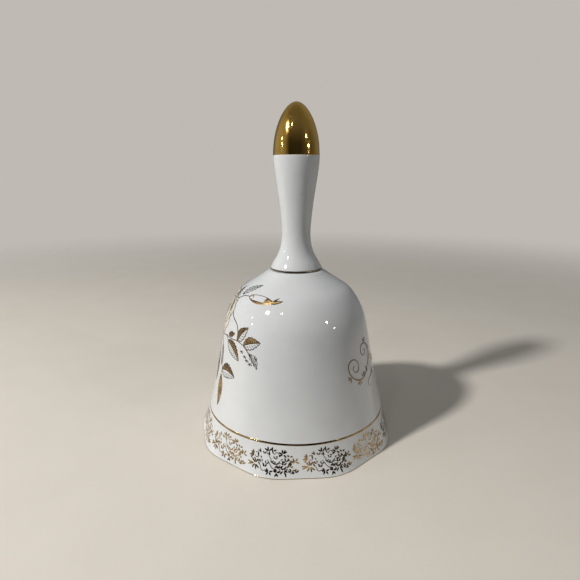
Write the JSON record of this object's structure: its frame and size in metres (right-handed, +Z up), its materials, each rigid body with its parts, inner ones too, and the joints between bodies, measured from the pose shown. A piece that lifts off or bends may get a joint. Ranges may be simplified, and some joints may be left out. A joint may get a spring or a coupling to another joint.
{
  "type": "hand bell",
  "caption": "Porcelain hand bell with a slim handle, a gently lobed rim, fired-gold trim and a bead clapper hung inside on a short brass chain.",
  "frame": {"origin": "centre of the rim's plane, on the bell's axis, where it stands", "axes": "+Z up the bell's axis towards the handle's tip; -Y faces the side with the open white field between the floral spray and the scroll; +X to that side's right"},
  "size_m": [0.086, 0.086, 0.14],
  "materials": {
    "white_glaze": "gloss",
    "fired_gold": "polished",
    "brass_wire": "satin",
    "plaster": "matte"
  },
  "bodies": {
    "bell": {"bell_body": "white_glaze", "handle": "white_glaze", "tip_gilding": "fired_gold", "neck_gilding": "fired_gold", "skirt_gilding": "fired_gold", "rim_gilding": "fired_gold", "throat_plug": "plaster", "anchor_eye": "brass_wire"},
    "link_1": {"chain_link_1": "brass_wire"},
    "link_2": {"chain_link_2": "brass_wire"},
    "link_3": {"chain_link_3": "brass_wire"},
    "clapper": {"clapper_pin": "brass_wire"},
    "bead": {"clapper_bead": "white_glaze"}
  },
  "joints": [
    {"name": "link_1_swing", "type": "hinge", "parent": "bell", "child": "link_1", "pos_m": [0, 0, 0.0645], "axis": [1, 0, 0], "range_deg": [-26, 26]},
    {"name": "link_2_swing", "type": "hinge", "parent": "link_1", "child": "link_2", "pos_m": [0, 0, 0.0538], "axis": [0, 1, 0], "range_deg": [-14, 14]},
    {"name": "link_3_swing", "type": "hinge", "parent": "link_2", "child": "link_3", "pos_m": [0, 0, 0.0431], "axis": [1, 0, 0], "range_deg": [-12, 12]},
    {"name": "clapper_swing", "type": "hinge", "parent": "link_3", "child": "clapper", "pos_m": [0, 0, 0.0324], "axis": [0, 1, 0], "range_deg": [-10, 10]},
    {"name": "bead_spin", "type": "hinge", "parent": "clapper", "child": "bead", "pos_m": [0, 0, 0.0196], "axis": [0, 0, 1], "continuous": true}
  ]
}
